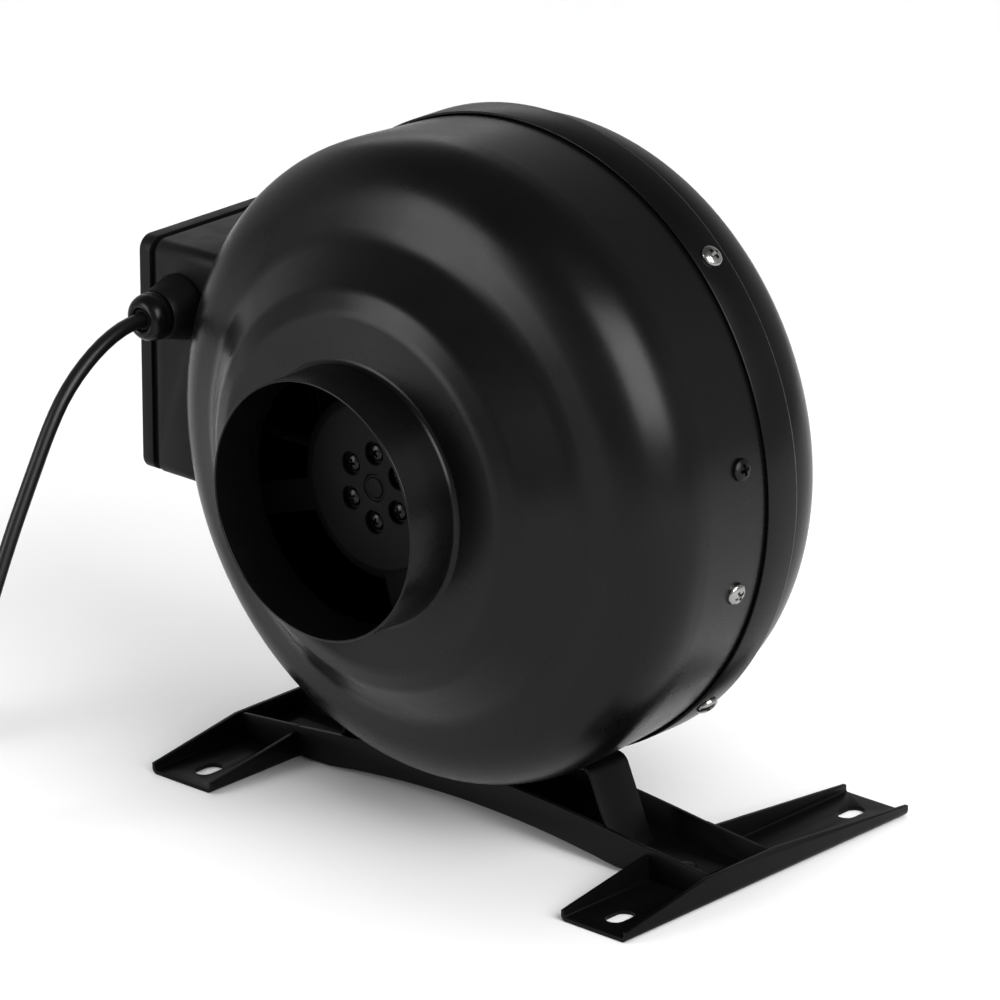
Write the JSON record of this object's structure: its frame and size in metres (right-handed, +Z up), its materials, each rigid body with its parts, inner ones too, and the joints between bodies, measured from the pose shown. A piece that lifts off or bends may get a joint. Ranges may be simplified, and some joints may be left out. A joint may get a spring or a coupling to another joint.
{
  "type": "inline duct fan",
  "caption": "Inline centrifugal duct fan with pressed steel half shells, a side terminal box with supply cord, and a foot bracket.",
  "frame": {"origin": "on the floor, under the middle of the bounding box of the fan without its cord", "axes": "+Z up; +Y along the duct axis towards the inlet spigot; the outlet spigot faces -Y and the terminal box is on the -X side"},
  "size_m": [0.3568, 0.3441, 0.2688],
  "materials": {
    "shell_powder_coat": "satin black powder coat",
    "bracket_powder_coat": "satin black powder coat",
    "support_powder_coat": "satin black powder coat",
    "box_plastic": "fine matte texture",
    "gland_plastic": "gloss",
    "rubber": "matte",
    "cord_pvc": "soft satin",
    "plug_pvc": "soft satin",
    "brass": "nickel plated",
    "blackened_steel": "black oxide",
    "zinc_steel": "bright zinc",
    "galvanised_steel": "galvanised",
    "cast_aluminium": "as cast",
    "silicon_steel": "laminated edges",
    "copper_winding": "enamelled wire",
    "bearing_steel": "ground",
    "impeller_plastic": "moulded",
    "white_plastic": "moulded"
  },
  "bodies": {
    "housing": {"band_screw_1": "zinc_steel", "band_screw_2": "zinc_steel", "band_screw_3": "zinc_steel", "band_screw_4": "zinc_steel", "bearing_front": "bearing_steel", "bearing_rear": "bearing_steel", "box_screw_1": "zinc_steel", "box_screw_2": "zinc_steel", "cord_coil": "cord_pvc", "cord_tail": "cord_pvc", "cross_channel": "bracket_powder_coat", "earth_screw": "zinc_steel", "front_shell": "shell_powder_coat", "gland_body": "gland_plastic", "gland_locknut": "gland_plastic", "gland_nut": "gland_plastic", "gland_seal": "rubber", "inlet_ring": "galvanised_steel", "lead_clip": "galvanised_steel", "lead_clip_screw": "blackened_steel", "lead_grommet": "rubber", "left_foot_rivet": "blackened_steel", "left_leg": "bracket_powder_coat", "left_strap": "bracket_powder_coat", "left_strap_screw": "zinc_steel", "lid_gasket": "rubber", "lid_screw_1": "zinc_steel", "lid_screw_2": "zinc_steel", "lid_screw_3": "zinc_steel", "lid_screw_4": "zinc_steel", "mains_plug": "plug_pvc", "motor_base": "cast_aluminium", "motor_lead": "cord_pvc", "motor_screw_1": "zinc_steel", "motor_screw_2": "zinc_steel", "motor_screw_3": "zinc_steel", "motor_screw_4": "zinc_steel", "motor_screw_5": "zinc_steel", "motor_screw_6": "zinc_steel", "motor_support": "support_powder_coat", "plug_pin_1": "brass", "plug_pin_2": "brass", "power_cord": "cord_pvc", "rear_shell": "shell_powder_coat", "right_foot_rivet": "blackened_steel", "right_leg": "bracket_powder_coat", "right_strap": "bracket_powder_coat", "right_strap_screw": "zinc_steel", "run_capacitor": "white_plastic", "stator_core": "silicon_steel", "terminal_block": "white_plastic", "terminal_box_base": "box_plastic", "terminal_box_lid": "box_plastic", "winding_front": "copper_winding", "winding_rear": "copper_winding"},
    "rotor": {"motor_shaft": "bearing_steel", "rotor_cup": "galvanised_steel", "impeller": "impeller_plastic"}
  },
  "joints": [
    {"name": "rotor_spin", "type": "hinge", "parent": "housing", "child": "rotor", "pos_m": [0.01615, 0.0095, 0.146], "axis": [0, 1, 0], "continuous": true}
  ]
}
